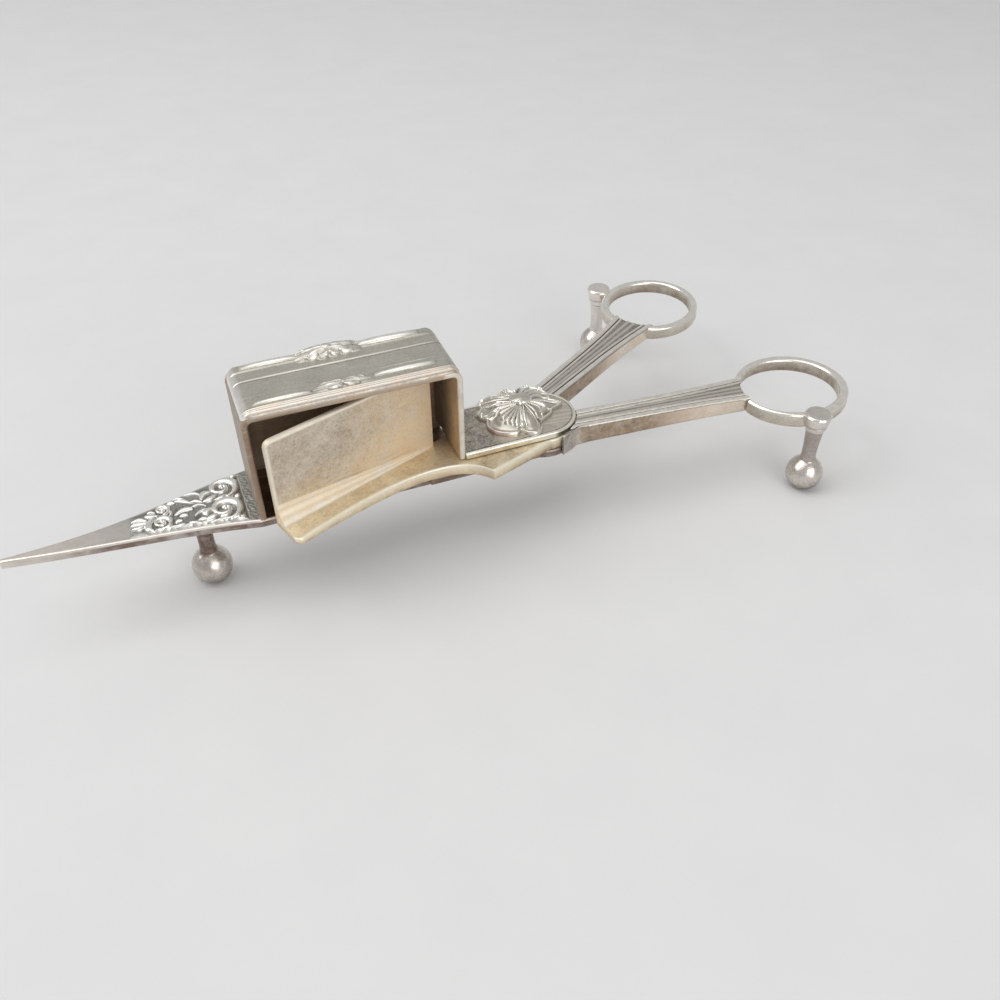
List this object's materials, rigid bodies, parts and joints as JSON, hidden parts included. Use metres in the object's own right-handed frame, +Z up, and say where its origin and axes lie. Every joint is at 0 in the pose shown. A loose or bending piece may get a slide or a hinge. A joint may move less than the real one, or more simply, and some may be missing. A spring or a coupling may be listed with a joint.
{
  "type": "candle snuffer scissors",
  "caption": "Silver-plated wick trimmer like scissors, with a box on one blade, an upright press plate on the other, a spike, finger rings and ball feet.",
  "frame": {"origin": "on the table under the middle of the whole object", "axes": "+X from the spike towards the finger rings, +Y from the box's open mouth to its back, +Z up"},
  "size_m": [0.1948, 0.0822, 0.0465],
  "materials": {
    "silver_outer": "worn silver plate, satin",
    "silver_cast": "cast silver plate with dark recesses",
    "silver_warm": "matte silver plate, tarnished to gold"
  },
  "bodies": {
    "box_lever": {"pan_and_spike": "silver_outer", "spike_scrolls": "silver_cast", "box_wrap": "silver_outer", "box_back": "silver_outer", "box_top_cover": "silver_cast", "hinge_top_plate": "silver_outer", "pivot_shell": "silver_cast", "pivot_rivet": "silver_outer", "rivet_washer": "silver_outer", "front_foot": "silver_outer", "near_handle": "silver_outer", "near_ring": "silver_outer", "near_foot_boss": "silver_outer", "near_foot": "silver_outer"},
    "press_lever": {"press_blade": "silver_warm", "press_plate": "silver_warm", "far_handle": "silver_outer", "far_ring": "silver_outer", "far_foot_boss": "silver_outer", "far_foot": "silver_outer"}
  },
  "joints": [
    {"name": "press_pivot", "type": "hinge", "parent": "box_lever", "child": "press_lever", "pos_m": [0.02002, -0.01448, 0.021], "axis": [0, 0, 1], "range_deg": [-18.5, 20]}
  ]
}
